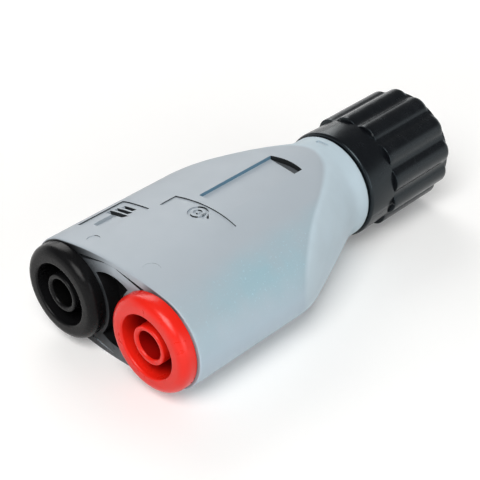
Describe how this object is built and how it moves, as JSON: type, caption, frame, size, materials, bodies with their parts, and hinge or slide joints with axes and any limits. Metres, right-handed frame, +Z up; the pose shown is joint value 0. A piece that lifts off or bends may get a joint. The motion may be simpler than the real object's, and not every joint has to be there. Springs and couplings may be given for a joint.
{
  "type": "coaxial to safety socket adapter",
  "caption": "Crowned plastic housing with a black and a red 4 mm safety socket at one end and a bayonet coaxial plug with a fluted turning ring at the other.",
  "frame": {"origin": "on the ground under the middle of the adapter as it lies on its coupling ring and housing", "axes": "+Y along the common axis from the two sockets to the coaxial plug, +Z up through the crowned face with the rating panel, +X from the black socket to the red one"},
  "size_m": [0.0354, 0.0704, 0.0198],
  "materials": {
    "housing_grey": "satin",
    "black_gloss": "glossy",
    "red_gloss": "glossy",
    "black_nylon": "satin",
    "ring_black": "satin",
    "gold_brass": "polished",
    "nickel": "polished",
    "tinned_metal": "satin",
    "spring_steel": "satin",
    "copper": "satin",
    "red_lead": "satin",
    "black_lead": "satin",
    "white_insulator": "satin",
    "gasket_rubber": "matte"
  },
  "bodies": {
    "adapter_body": {"housing_shell": "housing_grey", "socket_carrier": "black_gloss", "black_socket": "black_gloss", "red_socket": "red_gloss", "black_contact": "gold_brass", "red_contact": "gold_brass", "socket_ring_nuts": "black_nylon", "signal_lead": "red_lead", "signal_lead_core": "copper", "ground_lead": "black_lead", "ground_lead_core": "copper", "red_solder_sleeve": "red_lead", "black_solder_sleeve": "black_lead", "pin_solder_sleeve": "black_lead", "ground_lug": "tinned_metal", "lock_nut": "nickel", "plug_body": "nickel", "plug_insulator": "white_insulator", "centre_pin": "gold_brass", "outer_contact": "nickel", "plug_gasket": "gasket_rubber", "retaining_clip": "spring_steel", "spring_washer": "spring_steel"},
    "ring_float": {"thrust_washer": "nickel"},
    "coupling": {"bayonet_sleeve": "nickel", "coupling_ring": "ring_black"}
  },
  "joints": [
    {"name": "ring_float_slide", "type": "slide", "parent": "adapter_body", "child": "ring_float", "axis": [0, 1, 0], "range_m": [0, 0.0006], "stiffness_N_per_m": 3000, "springref_m": -0.0005},
    {"name": "coupling_turn", "type": "hinge", "parent": "ring_float", "child": "coupling", "pos_m": [0, 0.02505, 0.0099], "axis": [0, 1, 0], "continuous": true}
  ]
}
